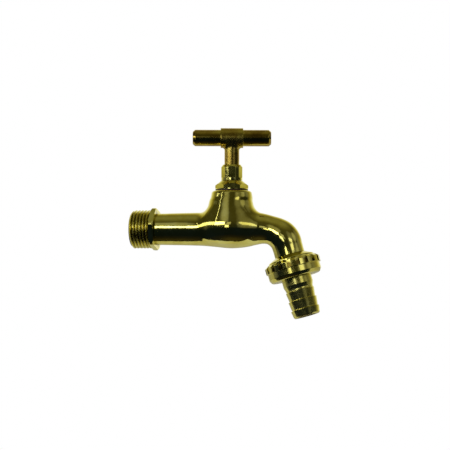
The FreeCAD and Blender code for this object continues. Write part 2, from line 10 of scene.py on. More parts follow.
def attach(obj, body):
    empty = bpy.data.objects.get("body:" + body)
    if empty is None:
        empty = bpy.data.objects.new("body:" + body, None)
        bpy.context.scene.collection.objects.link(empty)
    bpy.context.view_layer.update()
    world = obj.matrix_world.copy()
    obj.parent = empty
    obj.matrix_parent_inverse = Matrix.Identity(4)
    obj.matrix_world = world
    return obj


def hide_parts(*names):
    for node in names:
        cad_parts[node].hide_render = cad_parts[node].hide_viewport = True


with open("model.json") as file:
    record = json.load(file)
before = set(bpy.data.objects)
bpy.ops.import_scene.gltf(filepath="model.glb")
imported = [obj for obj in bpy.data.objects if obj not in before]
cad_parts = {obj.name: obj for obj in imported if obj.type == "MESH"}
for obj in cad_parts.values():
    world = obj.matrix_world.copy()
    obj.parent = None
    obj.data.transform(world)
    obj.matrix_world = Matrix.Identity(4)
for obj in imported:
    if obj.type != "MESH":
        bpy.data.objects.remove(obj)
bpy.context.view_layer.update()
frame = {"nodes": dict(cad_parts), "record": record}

bpy.context.scene.view_settings.view_transform = "Standard"

# Millimetres, as on the drawing of the tap. Every mesh is scaled to metres when it is made.
MM = 0.001

# Axes that the pieces stand on
STEM_ALONG = 44.5
OUTLET = Vector((79.14, 0.0, -21.55))
OUTLET_LEAN = math.radians(16.4)
BAR_HEIGHT = 49.6
HANDLE_TURN = math.radians(13.5)
INLET_BORE = 6.25


def stem_place(height=0.0):
    return Matrix.Translation(Vector((STEM_ALONG, 0.0, height)) * MM)


def outlet_place(drop=0.0):
    """On the outlet axis with local Z up along it, its zero so far below the casting's end face."""
    down = Vector((math.sin(OUTLET_LEAN), 0.0, -math.cos(OUTLET_LEAN)))
    return Matrix.Translation((OUTLET + down * drop) * MM) @ Matrix.Rotation(-OUTLET_LEAN, 4, "Y")


def pipe_place():
    """Local Z along the inlet axis, away from the wall."""
    return Matrix.Rotation(math.pi / 2, 4, "Y")


def bar_place():
    """Local Z along the tee bar."""
    turned = stem_place(BAR_HEIGHT) @ Matrix.Rotation(HANDLE_TURN, 4, "Z")
    return turned @ Matrix.Rotation(math.pi / 2, 4, "Y")


# Mesh makers

def new_object(name, vertices, faces, place=Matrix()):
    mesh = bpy.data.meshes.new(name)
    mesh.from_pydata([Vector(v) * MM for v in vertices], [], faces)
    mesh.update()
    piece = bpy.data.objects.new(name, mesh)
    bpy.context.collection.objects.link(piece)
    piece.matrix_world = place
    return piece


def rounded_outline(corners, steps=5):
    """A closed outline whose (radius, height, rounding) corners are turned over small arcs."""
    points = []
    for index, (across, up, *rounding) in enumerate(corners):
        here = Vector((across, up))
        before = Vector(corners[index - 1][:2]) - here
        after = Vector(corners[(index + 1) % len(corners)][:2]) - here
        radius = rounding[0] if rounding else 0.0
        half_angle = before.angle(after) / 2
        if radius == 0.0 or half_angle > math.radians(89):
            points.append(here)
            continue
        reach = min(radius / math.tan(half_angle), before.length * 0.49, after.length * 0.49)
        radius = reach * math.tan(half_angle)
        middle = (before.normalized() + after.normalized()).normalized()
        centre = here + middle * (radius / math.sin(half_angle))
        start = here + before.normalized() * reach - centre
        finish = here + after.normalized() * reach - centre
        sweep = start.angle_signed(finish)
        for step in range(steps + 1):
            turn = Matrix.Rotation(-sweep * step / steps, 2)
            points.append(centre + turn @ start)
    return points


def lathe(name, corners, place=Matrix(), around=192):
    """Turn a closed outline round local Z. Points on the axis close to a single vertex."""
    outline = rounded_outline(corners)
    vertices, rings = [], []
    for point in outline:
        if point.x < 1e-6:
            rings.append([len(vertices)] * around)
            vertices.append((0.0, 0.0, point.y))
            continue
        rings.append(list(range(len(vertices), len(vertices) + around)))
        for step in range(around):
            angle = 2 * math.pi * step / around
            vertices.append((point.x * math.cos(angle), point.x * math.sin(angle), point.y))
    faces = []
    for index, ring in enumerate(rings):
        following = rings[(index + 1) % len(rings)]
        for step in range(around):
            step_on = (step + 1) % around
            corner_loop = [ring[step], ring[step_on], following[step_on], following[step]]
            face = list(dict.fromkeys(corner_loop))
            if len(face) > 2:
                faces.append(face)
    return tidy(new_object(name, vertices, faces, place))


def tidy(piece):
    """Merge doubled points and turn every face outwards."""
    work = bmesh.new()
    work.from_mesh(piece.data)
    bmesh.ops.remove_doubles(work, verts=work.verts, dist=1e-7)
    bmesh.ops.recalc_face_normals(work, faces=work.faces)
    work.to_mesh(piece.data)
    work.free()
    return piece


def hexagon_ring(name, across_flats, outer, foot, top, turn, place=Matrix()):
    """The metal outside six flats, as a cutter. The turn is in degrees."""
    inner_corner = across_flats / math.sqrt(3)
    vertices = []
    for height in (foot, top):
        for radius in (inner_corner, outer):
            for side in range(6):
                angle = math.radians(turn + 30 + 60 * side)
                vertices.append((radius * math.cos(angle), radius * math.sin(angle), height))
    faces = []
    for side in range(6):
        step = (side + 1) % 6
        inner_low, outer_low, inner_high, outer_high = (
            (start + side, start + step) for start in (0, 6, 12, 18))
        faces.append((inner_low[0], inner_low[1], outer_low[1], outer_low[0]))
        faces.append((inner_high[1], inner_high[0], outer_high[0], outer_high[1]))
        faces.append((inner_low[1], inner_low[0], inner_high[0], inner_high[1]))
        faces.append((outer_low[0], outer_low[1], outer_high[1], outer_high[0]))
    return tidy(new_object(name, vertices, faces, place))


def use_modifier(piece, kind, **settings):
    modifier = piece.modifiers.new(kind.lower(), kind)
    for key, value in settings.items():
        setattr(modifier, key, value)
    return modifier


def apply_modifiers(piece):
    graph = bpy.context.evaluated_depsgraph_get()
    made = bpy.data.meshes.new_from_object(piece.evaluated_get(graph))
    piece.modifiers.clear()
    piece.data = made
    return piece


def carve(piece, cutters, operation="DIFFERENCE"):
    """Cut the pieces away, or join them on, one by one, and drop them."""
    for cutter in cutters:
        use_modifier(piece, "BOOLEAN", operation=operation, object=cutter, solver="EXACT")
        apply_modifiers(piece)
        bpy.data.objects.remove(cutter)
    return piece


def smooth(piece, sharp_over=32.0, weighted=True):
    """Smooth shading that stays crisp over edges sharper than an angle."""
    piece.data.polygons.foreach_set("use_smooth", [True] * len(piece.data.polygons))
    piece.data.set_sharp_from_angle(angle=math.radians(sharp_over))
    if weighted:
        use_modifier(piece, "WEIGHTED_NORMAL", keep_sharp=True, weight=80)
    return piece


# The cast body: a skin settled on a bent tube and a bell that run into each other

# How far along and how high each centre of the run is from the stem axis, and its radius.
RUN_SECTIONS = [
    (-43.0, 0.0, 8.55), (-30.4, 0.0, 8.79), (-21.9, -0.02, 8.96), (-15.2, -0.09, 9.14),
    (-8.4, -0.24, 9.58), (0.0, -0.55, 10.03), (6.7, -0.35, 9.7), (11.75, 0.15, 9.12),
    (16.9, 0.12, 8.28), (21.67, -0.72, 7.84), (25.5, -2.15, 8.14), (28.08, -3.9, 8.5),
    (30.0, -6.35, 8.5), (31.14, -9.65, 8.3), (31.96, -12.44, 8.25), (32.78, -15.22, 8.3),
]
STEPS_PER_SPAN = 10
SKIN_GRAIN = 0.4
# The hollow where bell and run meet is rounded by BELL_BLEND at the middle plane, and by FLANK_BLEND more
# from FLANK_FROM_MIDDLE off it.
BELL_BLEND = 4.0
FLANK_BLEND = 2.5
FLANK_FROM_MIDDLE = 9.0

# (radius, height, rounding). The bell's wall runs on down into the valve chamber before it rolls over.
BELL = [
    (0.0, -5.0), (8.2, -5.0, 2.0), (10.6, -4.2, 4.0), (12.4, -2.4, 4.0), (13.2, 0.2, 5.0), (13.5, 3.4, 5.0),
    (13.0, 10.3, 16.0), (11.5, 16.9, 8.0), (10.97, 19.75, 0.15), (10.65, 20.25, 0.2), (10.1, 20.65, 0.2),
    (9.4, 20.9, 0.3), (0.0, 20.9),
]
# The run widens sideways into the valve chamber: where, over what length each way, and by what part.
CHAMBER_ALONG = 43.5
CHAMBER_REACH = (26.0, 20.0)
CHAMBER_SWELL = 0.24
# The rough casting stands a little off the bored axis, towards the wall, below the bell's turned shoulder.
BELL_OFFSET = 0.42
BELL_OFFSET_TOP = 17.4
BELL_OFFSET_FADE = 2.4

COLLAR_FLATS = 21.0
COLLAR_TURN = -15.5


def smooth_run(sections):
    """Points on one smooth line through the sections, each with its radius (x, z, radius)."""
    knots = np.array([(STEM_ALONG + along, height, radius) for along, height, radius in sections])
    ends = np.vstack([2 * knots[0] - knots[1], knots, 2 * knots[-1] - knots[-2]])
    run = []
    for before, start, finish, after in zip(ends, ends[1:], ends[2:], ends[3:]):
        gap = np.linalg.norm((finish - start)[:2])
        leave = (finish - before) / np.linalg.norm((finish - before)[:2]) * gap
        arrive = (after - start) / np.linalg.norm((after - start)[:2]) * gap
        for step in range(STEPS_PER_SPAN):
            part = step / STEPS_PER_SPAN
            square, cube = part ** 2, part ** 3
            run.append((2 * cube - 3 * square + 1) * start + (cube - 2 * square + part) * leave
                       + (3 * square - 2 * cube) * finish + (cube - square) * arrive)
    return np.array(run + [knots[-1]])


def distance_to_run(points, run):
    """Distance from each point to the tube's wall, less than 0 inside."""
    best = np.full(len(points), 1e9)
    for start, finish in zip(run, run[1:]):
        line = (finish - start)[:2]
        offset = points[:, [0, 2]] - start[:2]
        part = np.clip(offset @ line / (line @ line), 0.0, 1.0)
        flat = offset - part[:, None] * line
        gap = np.sqrt((flat ** 2).sum(axis=1) + points[:, 1] ** 2)
        best = np.minimum(best, gap - (start[2] + part * (finish[2] - start[2])))
    return best


def distance_to_turned(across, up, outline):
    """Distance in the half plane to a closed outline, less than 0 inside."""
    best = np.full(len(across), 1e9)
    inside = np.zeros(len(across), dtype=bool)
    for index, finish in enumerate(outline):
        start = outline[index - 1]
        line = finish - start
        if start.x < 1e-6 and finish.x < 1e-6:
            continue
        offset_x, offset_y = across - start.x, up - start.y
        part = np.clip((offset_x * line.x + offset_y * line.y) / line.length_squared, 0.0, 1.0)
        best = np.minimum(best, np.hypot(offset_x - part * line.x, offset_y - part * line.y))
        crosses = (start.y > up) != (finish.y > up)
        if line.y != 0.0:
            inside ^= crosses & (across < start.x + (up - start.y) / line.y * line.x)
    return np.where(inside, -best, best)


def round_join(first, second, radius):
    """The two shapes as one, with the hollow line between them rounded."""
    reach = np.hypot(np.maximum(radius - first, 0.0), np.maximum(radius - second, 0.0))
    return np.maximum(radius, np.minimum(first, second)) - reach


def settle_on(piece, distance, rounds=4):
    """Move every vertex along the slope of a distance until it lies on the surface."""
    mesh = piece.data
    places = np.empty(len(mesh.vertices) * 3)
    mesh.vertices.foreach_get("co", places)
    places = places.reshape(-1, 3) / MM
    nudge = 0.01
    for _ in range(rounds):
        here = distance(places)
        slope = np.stack([distance(places + nudge * axis) - here for axis in np.eye(3)], axis=1) / nudge
        places -= slope * (here / np.maximum((slope ** 2).sum(axis=1), 0.25))[:, None]
    mesh.vertices.foreach_set("co", (places * MM).ravel())
    mesh.update()
    return piece


def joined(name, pieces):
    """Closed shells as one object."""
    work = bmesh.new()
    for piece in pieces:
        start = len(work.verts)
        work.from_mesh(piece.data)
        work.verts.ensure_lookup_table()
        bmesh.ops.transform(work, matrix=piece.matrix_world, verts=work.verts[start:])
        bpy.data.objects.remove(piece)
    mesh = bpy.data.meshes.new(name)
    work.to_mesh(mesh)
    work.free()
    whole = bpy.data.objects.new(name, mesh)
    bpy.context.collection.objects.link(whole)
    return whole


def even_skin(piece, grain):
    """One closed skin of even faces round overlapping shells."""
    use_modifier(piece, "REMESH", mode="VOXEL", voxel_size=grain * MM)
    return apply_modifiers(piece)


def tube_of(name, run, around=64):
    """A closed tube along a run, to start the skin from."""
    vertices, faces = [], []
    for index, (along, height, radius) in enumerate(run):
        ahead = run[min(index + 1, len(run) - 1)] - run[max(index - 1, 0)]
        side = Vector((-ahead[1], 0.0, ahead[0])).normalized()
        for step in range(around):
            angle = 2 * math.pi * step / around
            vertices.append(Vector((along, 0.0, height)) + side * (radius * math.cos(angle))
                            + Vector((0.0, radius * math.sin(angle), 0.0)))
    for ring in range(len(run) - 1):
        for step in range(around):
            low, high = ring * around, (ring + 1) * around
            step_on = (step + 1) % around
            faces.append((low + step, low + step_on, high + step_on, high + step))
    faces.append(tuple(range(around)))
    faces.append(tuple((len(run) - 1) * around + step for step in range(around)))
    return tidy(new_object(name, vertices, faces))


def cast_body():
    """Barrel, bell and spout in one skin, with collar, outlet boss and water way."""
    run = smooth_run(RUN_SECTIONS)
    bell = rounded_outline(BELL)

    def distance(points):
        part = np.clip((BELL_OFFSET_TOP - points[:, 2]) / BELL_OFFSET_FADE, 0.0, 1.0)
        offset = BELL_OFFSET * part ** 2 * (3 - 2 * part)
        from_stem = np.hypot(points[:, 0] - STEM_ALONG + offset, points[:, 1])
        flank = np.clip(np.abs(points[:, 1]) / FLANK_FROM_MIDDLE, 0.0, 1.0)
        blend = BELL_BLEND + FLANK_BLEND * flank ** 2
        reach = np.where(points[:, 0] < CHAMBER_ALONG, *CHAMBER_REACH)
        near = np.clip(1 - np.abs(points[:, 0] - CHAMBER_ALONG) / reach, 0.0, 1.0)
        wider = 1 + CHAMBER_SWELL * near ** 2 * (3 - 2 * near)
        squeezed = points / np.stack([np.ones(len(points)), wider, np.ones(len(points))], axis=1)
        return round_join(distance_to_run(squeezed, run),
                          distance_to_turned(from_stem, points[:, 2], bell), blend)

    skin = joined("cast_body", [tube_of("run", run), lathe("bell", BELL, stem_place())])
    even_skin(skin, SKIN_GRAIN)
    settle_on(skin, distance)
    boss = lathe("boss", [
        (0, 0), (13.17, 0, 0.3), (13.17, 4.6, 0.3), (12.6, 4.6, 0.1), (12.6, 5.5, 0.8), (7.4, 8.1), (0, 8.1),
    ], outlet_place())
    collar = lathe("collar", [
        (0, 0), (11.25, 0, 0.1), (11.75, 0.5, 0.2), (11.75, 2.2, 0.2), (11.25, 2.7, 0.1), (0, 2.7),
    ], pipe_place())
    carve(collar, [hexagon_ring("collar_flats", COLLAR_FLATS, 16.0, -1.0, 4.0, COLLAR_TURN, pipe_place())])
    carve(skin, [boss, collar], "UNION")
    ways = [
        lathe("inlet_bore", [(0, -12.0), (INLET_BORE, -12.0), (INLET_BORE, 28.5), (0, 28.5)],
              pipe_place()),
        lathe("chamber", [(0, 1.6), (9.0, 1.6), (9.0, 11.8), (7.4, 11.8), (7.4, 21.9), (0, 21.9)],
              stem_place()),
        lathe("outlet_bore", [(0, -1.0), (5.8, -1.0), (5.8, 12.2), (5.0, 12.2), (5.0, 18.0), (0, 18.0)],
              outlet_place()),
    ]
    carve(skin, ways)
    return smooth(skin, 40.0, weighted=False)


# G 1/2 pipe thread
THREAD_PITCH = 1.814
THREAD_DEPTH = 1.162
THREAD_CREST = 10.4775
# How much steeper the flanks are than those of a plain sine
FLANK_STEEPNESS = 1.12


def thread_height(turns):
    """Height above the root of a rounded 55 degree form, 0 to 1, at a number of turns."""
    saw = np.abs(2.0 * (turns - np.floor(turns)) - 1.0)
    return 0.5 - 0.5 * np.sin(np.clip((saw - 0.5) * FLANK_STEEPNESS, -0.5, 0.5) * np.pi)


def inlet_thread():
    """The inlet's thread, a grid wound over the spigot, chamfered at its end, with its bore."""
    foot, top, rows, around = -11.3, 0.4, 200, 192
    end_radius, chamfer, bore_chamfer = 9.35, 1.15, 0.5
    along = np.linspace(foot, top, rows)
    vertices = []
    for place in along:
        angle = 2 * np.pi * np.arange(around) / around
        form = thread_height(place / THREAD_PITCH - angle / (2 * np.pi))
        radius = THREAD_CREST - THREAD_DEPTH * (1 - form)
        limit = end_radius + (place - foot) * (THREAD_CREST - end_radius) / chamfer
        radius = np.minimum(radius, max(limit, end_radius))
        vertices += list(zip(radius * np.cos(angle), radius * np.sin(angle), np.full(around, place)))
    for place in (top, foot + bore_chamfer, foot):
        inner = INLET_BORE if place != foot else INLET_BORE + bore_chamfer
        vertices += [(inner * math.cos(2 * math.pi * step / around),
                      inner * math.sin(2 * math.pi * step / around), place) for step in range(around)]
    rings = rows + 3
    faces = []
    for ring in range(rings):
        low, high = ring * around, (ring + 1) % rings * around
        faces += [(low + step, low + (step + 1) % around, high + (step + 1) % around, high + step)
                  for step in range(around)]
    return smooth(tidy(new_object("inlet_thread", vertices, faces, pipe_place())), 50.0, weighted=False)


# Turned pieces

# Both hexagons on the stem axis turn a flat to the camera.
HEXAGON_TURN = 13.5 + 90
HEADWORK_FLATS = 15.6
GLAND_FLATS = 11.0


def headwork():
    """Hexagon with a domed top, its neck in the bell, and the packing box."""
    blank = lathe("headwork", [
        (4.12, 9.7), (7.35, 9.7, 0.4), (7.35, 21.5), (9.0, 21.5, 0.12), (9.0, 23.65, 0.3),
        (5.95, 26.2, 0.4), (5.25, 26.2, 0.15), (5.25, 18.0), (4.12, 18.0)], stem_place())
    carve(blank, [hexagon_ring("headwork_flats", HEADWORK_FLATS, 15.0, 22.0, 27.0, HEXAGON_TURN,
                               stem_place())])
    return smooth(blank)


def gland_nut():
    """Hexagon nut with a chamfered top and a round foot."""
    blank = lathe("gland_nut", [
        (4.15, 23.2, 0.1), (5.2, 23.2, 0.2), (5.2, 26.4), (5.8, 26.4, 0.15), (5.8, 33.6, 0.2),
        (4.9, 35.0, 0.15), (4.15, 35.0, 0.15)], stem_place())
    carve(blank, [hexagon_ring("gland_flats", GLAND_FLATS, 10.0, 27.9, 36.0, HEXAGON_TURN, stem_place())])
    return smooth(blank)


STEM_GRAIN = 0.22
BAR_RADIUS = 4.5
BOSS_BLEND = 1.3
BOSS_RADIUS = 5.425
BOSS_HALF = 6.15
STEM_RADIUS = 4.05
STEM = [(0, 5.85), (STEM_RADIUS, 5.85, 0.2), (STEM_RADIUS, 50.0, 0.5), (0, 50.0)]
BOSS = [(0, -BOSS_HALF), (BOSS_RADIUS, -BOSS_HALF, 0.25), (BOSS_RADIUS, BOSS_HALF, 0.25),
        (0, BOSS_HALF)]


def spindle():
    """Stem and cross boss in one skin with a soft blend, drilled for the bar and the jumper's pin."""
    stem_outline, boss_outline = rounded_outline(STEM), rounded_outline(BOSS)
    turn_cos, turn_sin = math.cos(HANDLE_TURN), math.sin(HANDLE_TURN)

    def distance(points):
        from_stem = points[:, 0] - STEM_ALONG
        along = from_stem * turn_cos + points[:, 1] * turn_sin
        across = points[:, 1] * turn_cos - from_stem * turn_sin
        to_stem = distance_to_turned(np.hypot(along, across), points[:, 2], stem_outline)
        to_boss = distance_to_turned(np.hypot(across, points[:, 2] - BAR_HEIGHT), along, boss_outline)
        return round_join(to_stem, to_boss, BOSS_BLEND)

    skin = joined("spindle", [lathe("stem", STEM, stem_place()), lathe("boss", BOSS, bar_place())])
    even_skin(skin, STEM_GRAIN)
    settle_on(skin, distance)
    carve(skin, [
        lathe("bar_hole", [(0, -8), (BAR_RADIUS, -8), (BAR_RADIUS, 8), (0, 8)], bar_place()),
        lathe("pin_hole", [(0, 5.0), (1.7, 5.0), (1.7, 10.4), (0, 10.4)], stem_place()),
    ])
    return smooth(skin, 40.0, weighted=False)


def tee_bar():
    """Round bar with bevelled ends."""
    half, bevel, face = 21.4, 1.3, 3.4
    return smooth(lathe("tee_bar", [
        (0, -half), (face, -half, 0.5), (BAR_RADIUS, bevel - half, 0.7),
        (BAR_RADIUS, half - bevel, 0.7), (face, half, 0.5), (0, half)], bar_place()))


NUT_SLOTS = 19
SLOT_TURN = 4.2
SLOT_HALF_WIDTH = 1.15
SLOT_FOOT = 5.8
SLOT_FLOOR_RADIUS = 13.9


def union_nut():
    """Round nut whose upper band is castellated."""
    place = outlet_place(5.5)
    blank = lathe("union_nut", [
        (8.45, 0, 0.1), (13.4, 0.25, 1.2), (14.55, 2.2, 0.6), (14.55, 5.4, 0.1), (15.197, 5.6, 0.12),
        (15.197, 8.9, 0.35), (13.5, 10.15, 0.15), (13.27, 10.1, 0.05), (13.27, 2.0), (8.45, 2.0),
    ], place, around=16 * NUT_SLOTS)
    beyond_top, beyond_rim = 12.0, 17.0
    vertices = [(across, side, height) for height in (SLOT_FOOT, beyond_top)
                for across in (SLOT_FLOOR_RADIUS, beyond_rim) for side in (-SLOT_HALF_WIDTH, SLOT_HALF_WIDTH)]
    faces = [(0, 1, 3, 2), (4, 5, 7, 6), (0, 1, 5, 4), (2, 3, 7, 6), (0, 2, 6, 4), (1, 3, 7, 5)]
    cutters = []
    for number in range(NUT_SLOTS):
        turn = Matrix.Rotation(math.radians(-90 + SLOT_TURN + number * 360 / NUT_SLOTS), 4, "Z")
        cutters.append(tidy(new_object("slot", vertices, faces, place @ turn)))
    carve(blank, [joined("slots", cutters)])
    return smooth(blank, 25.0)


def hose_tail():
    """Flanged tail with collar and three barbs."""
    first, pitch, count = 4.1, 5.1, 3
    corners = [(5.6, 0, 0.1), (6.75, 0, 0.1), (7.25, 0.6, 0.1)]
    for number in range(count):
        peak = first + number * pitch
        corners += [(7.87, peak, 0.12), (7.52 if number == count - 1 else 7.2, peak + 0.3, 0.2)]
    corners += [(7.52, 15.5, 0.5), (8.22, 17.6, 0.4), (8.22, 23.2, 0.1), (12.85, 23.2, 0.2),
                (12.85, 25.1, 0.2), (5.6, 25.1, 0.1)]
    return smooth(lathe("hose_tail", corners, outlet_place(26.7)))


# Materials

def linear(hex_colour):
    """An sRGB hex value as linear colour."""
    parts = [int(hex_colour[index:index + 2], 16) / 255 for index in (1, 3, 5)]
    return [part / 12.92 if part <= 0.04045 else ((part + 0.055) / 1.055) ** 2.4 for part in parts] + [1.0]


def add_node(tree, kind, settings=None, links=None, stops=()):
    """One node with its settings, its sockets, which take a value or another node's output, and the
    (position, colour) stops of a ramp."""
    node = tree.nodes.new(kind)
    for key, value in (settings or {}).items():
        setattr(node, key, value)
    for key, value in (links or {}).items():
        if isinstance(value, bpy.types.NodeSocket):
            tree.links.new(value, node.inputs[key])
        else:
            node.inputs[key].default_value = value
    while stops and len(node.color_ramp.elements) < len(stops):
        node.color_ramp.elements.new(0.5)
    for element, (position, colour) in zip(node.color_ramp.elements if stops else (), stops):
        element.position, element.color = position, colour
    return node


def start_material(name, **values):
    """A material with its main shader and a shared place for textures."""
    material = bpy.data.materials.new(name)
    material.use_nodes = True
    tree = material.node_tree
    shader = tree.nodes["Principled BSDF"]
    for key, value in values.items():
        shader.inputs[key.replace("_", " ")].default_value = value
    place = add_node(tree, "ShaderNodeTexCoord").outputs["Object"]
    return material, tree, shader, place


# Sizes in mm of the brass's patterns: patches of tarnish, specks in it, and the unevenness that grinding
# leaves on a casting.
STAIN_SIZE = 9.0
SPECK_SIZE = 1.3
WAVE_SIZE = 5.0
# On the real tap the pits are about 0.2 mm across and the lathe's feed is about 0.1 mm a turn. Both are too
# fine for the picture and are drawn three times as coarse.
PIT_SIZE = 0.6
PIT_DEPTH = 0.006
TOOL_FEED = 0.35


def brass(name, tones, roughness, waviness=0.0, turning=0.0, axis=(0, 0, 1), roots=None):
    """Brass: tones are its colour from tarnished to bright, then the painted shade of hollows and thread
    roots, waviness and turning the depths in mm of the casting's unevenness and of the tool's rings round an
    axis, roots the radii in mm round the inlet axis between which the painted shade of a thread's roots thins
    out."""
    material, tree, shader, place = start_material(name, Metallic=1.0)
    stains = add_node(tree, "ShaderNodeTexNoise", {}, {
        "Vector": place, "Scale": 1 / (STAIN_SIZE * MM), "Detail": 4.0, "Roughness": 0.55})
    specks = add_node(tree, "ShaderNodeTexNoise", {}, {
        "Vector": place, "Scale": 1 / (SPECK_SIZE * MM), "Detail": 5.0, "Roughness": 0.6})
    mottle = add_node(tree, "ShaderNodeMix", {"data_type": "FLOAT"}, {
        0: 0.3, 2: stains.outputs["Fac"], 3: specks.outputs["Fac"]})
    colour = add_node(tree, "ShaderNodeValToRGB", {}, {"Fac": mottle.outputs[0]}, [
        (0.34, linear(tones[0])), (0.5, linear(tones[1])), (0.66, linear(tones[2]))])
    # Corners are painted bright, as rubbed wear and as a painted highlight; hollows are painted dark, as
    # shade with some tarnish, and thread roots as painted shade.
    edges = add_node(tree, "ShaderNodeNewGeometry").outputs["Pointiness"]
    worn_edge_and_highlight = add_node(tree, "ShaderNodeMapRange", {}, {
        "Value": edges, "From Min": 0.51, "From Max": 0.57})
    if roots:
        # The thread's roots are darkened as painted shade, fading out towards the crests.
        off_axis = add_node(tree, "ShaderNodeVectorMath", {"operation": "MULTIPLY"}, {
            0: place, 1: (0, 1, 1)})
        radius = add_node(tree, "ShaderNodeVectorMath", {"operation": "LENGTH"}, {
            0: off_axis.outputs["Vector"]})
        hollow = add_node(tree, "ShaderNodeMapRange", {}, {
            "Value": radius.outputs["Value"], "From Min": roots[1] * MM, "From Max": roots[0] * MM})
    else:
        # Concave places are darkened: painted shade with some tarnish.
        hollow = add_node(tree, "ShaderNodeMapRange", {}, {
            "Value": edges, "From Min": 0.49, "From Max": 0.43})
    # Convex edges take the brightest tone: rubbed wear and a painted highlight.
    brightened = add_node(tree, "ShaderNodeMix", {"data_type": "RGBA"}, {
        0: worn_edge_and_highlight.outputs["Result"], 6: colour.outputs["Color"], 7: linear(tones[2])})
    tarnish_and_hollow_shade = add_node(tree, "ShaderNodeMix", {"data_type": "RGBA"}, {
        0: hollow.outputs["Result"], 6: brightened.outputs[2], 7: linear(tones[3])})
    tree.links.new(tarnish_and_hollow_shade.outputs[2], shader.inputs["Base Color"])
    rough = add_node(tree, "ShaderNodeMapRange", {}, {
        "Value": specks.outputs["Fac"], "From Min": 0.3, "From Max": 0.7, "To Min": roughness[0],
        "To Max": roughness[1]})
    tree.links.new(rough.outputs["Result"], shader.inputs["Roughness"])
    pits = add_node(tree, "ShaderNodeTexNoise", {}, {
        "Vector": place, "Scale": 1 / (PIT_SIZE * MM), "Detail": 3.0, "Roughness": 0.6})
    surface = add_node(tree, "ShaderNodeBump", {}, {
        "Height": pits.outputs["Fac"], "Strength": 1.0, "Distance": PIT_DEPTH * MM})
    if waviness:
        waves = add_node(tree, "ShaderNodeTexNoise", {}, {
            "Vector": place, "Scale": 1 / (WAVE_SIZE * MM), "Detail": 2.0, "Roughness": 0.45})
        surface = add_node(tree, "ShaderNodeBump", {}, {
            "Height": waves.outputs["Fac"], "Strength": 1.0, "Distance": waviness * MM,
            "Normal": surface.outputs["Normal"]})
    if turning:
        along = add_node(tree, "ShaderNodeVectorMath", {"operation": "DOT_PRODUCT"}, {0: place, 1: axis})
        rings = add_node(tree, "ShaderNodeTexNoise", {"noise_dimensions": "1D"}, {
            "W": along.outputs["Value"], "Scale": 1 / (TOOL_FEED * MM), "Detail": 2.0})
        surface = add_node(tree, "ShaderNodeBump", {}, {
            "Height": rings.outputs["Fac"], "Strength": 1.0, "Distance": turning * MM,
            "Normal": surface.outputs["Normal"]})
    tree.links.new(surface.outputs["Normal"], shader.inputs["Normal"])
    return material


OUTLET_AXIS = (math.sin(OUTLET_LEAN), 0.0, -math.cos(OUTLET_LEAN))
BAR_AXIS = (math.cos(HANDLE_TURN), math.sin(HANDLE_TURN), 0.0)

# In each set of tones the fourth colour is the painted shade of hollows and thread roots, with some tarnish
# in the hollows.
# Cast brass, ground and buffed: a mirror whose waviness bends the reflections, under a greenish lacquer.
CAST_TONES = ("#CDC056", "#DED46C", "#E8E284", "#544618")
cast_brass = brass("polished_cast_brass", CAST_TONES, (0.05, 0.12), waviness=0.10)
# The same casting where the die cut the inlet's thread: unpolished, its crests painted brighter as wear and
# as a highlight, its roots darkened as painted shade.
THREAD_TONES = ("#CDC056", "#DED46C", "#F0EA92", "#4A3C14")
threaded_brass = brass("die_cut_cast_brass", THREAD_TONES, (0.20, 0.34), roots=(9.3, 9.7))
# Brass turned from bar: bright, with fine rings round its axis. The nut keeps its shine, and the tail is
# duller where the hose has rubbed it.
TURNED_TONES = ("#D0C45C", "#E2D870", "#ECE488", "#4E4018")
# The nut's hollows get a paler painted shade, so its slot floors stay bright.
NUT_TONES = TURNED_TONES[:3] + ("#6A5C24",)
turned_brass = brass("turned_brass", TURNED_TONES, (0.08, 0.18), turning=0.0006)
nut_brass = brass("turned_brass_of_the_nut", NUT_TONES, (0.10, 0.20), turning=0.0006,
                  axis=OUTLET_AXIS)
tail_brass = brass("turned_brass_of_the_tail", TURNED_TONES, (0.17, 0.30), turning=0.0010,
                   axis=OUTLET_AXIS)
# Spindle and bar: turned brass that hands have darkened, browner and softer in its shine.
HANDLED_TONES = ("#8A6E2A", "#AE9440", "#CABA58", "#46300F")
handled_brass = brass("handled_turned_brass", HANDLED_TONES, (0.20, 0.30), turning=0.0008)
bar_brass = brass("handled_turned_brass_bar", HANDLED_TONES, (0.08, 0.16), turning=0.0012, axis=BAR_AXIS)
# Spring bronze strip: rolled, redder than the brass.
BRONZE_TONES = ("#7C5A34", "#8F6A3E", "#A07A4A", "#3C2A18")
spring_bronze = brass("rolled_spring_bronze", BRONZE_TONES, (0.25, 0.38))


ROUGHNESS_SPREAD = 0.08


def dull_material(name, tones, roughness, grain_size, grain_depth):
    """A non-metal with uneven colour and a bumpy grain of a size and depth in mm."""
    material, tree, shader, place = start_material(name)
    grain = add_node(tree, "ShaderNodeTexNoise", {}, {
        "Vector": place, "Scale": 1 / (grain_size * MM), "Detail": 4.0, "Roughness": 0.6})
    colour = add_node(tree, "ShaderNodeValToRGB", {}, {"Fac": grain.outputs["Fac"]}, [
        (0.35, linear(tones[0])), (0.65, linear(tones[1]))])
    tree.links.new(colour.outputs["Color"], shader.inputs["Base Color"])
    rough = add_node(tree, "ShaderNodeMapRange", {}, {
        "Value": grain.outputs["Fac"], "From Min": 0.3, "From Max": 0.7,
        "To Min": roughness - ROUGHNESS_SPREAD, "To Max": roughness + ROUGHNESS_SPREAD})
    tree.links.new(rough.outputs["Result"], shader.inputs["Roughness"])
    bump = add_node(tree, "ShaderNodeBump", {}, {
        "Height": grain.outputs["Fac"], "Strength": 1.0, "Distance": grain_depth * MM})
    tree.links.new(bump.outputs["Normal"], shader.inputs["Normal"])
    return material


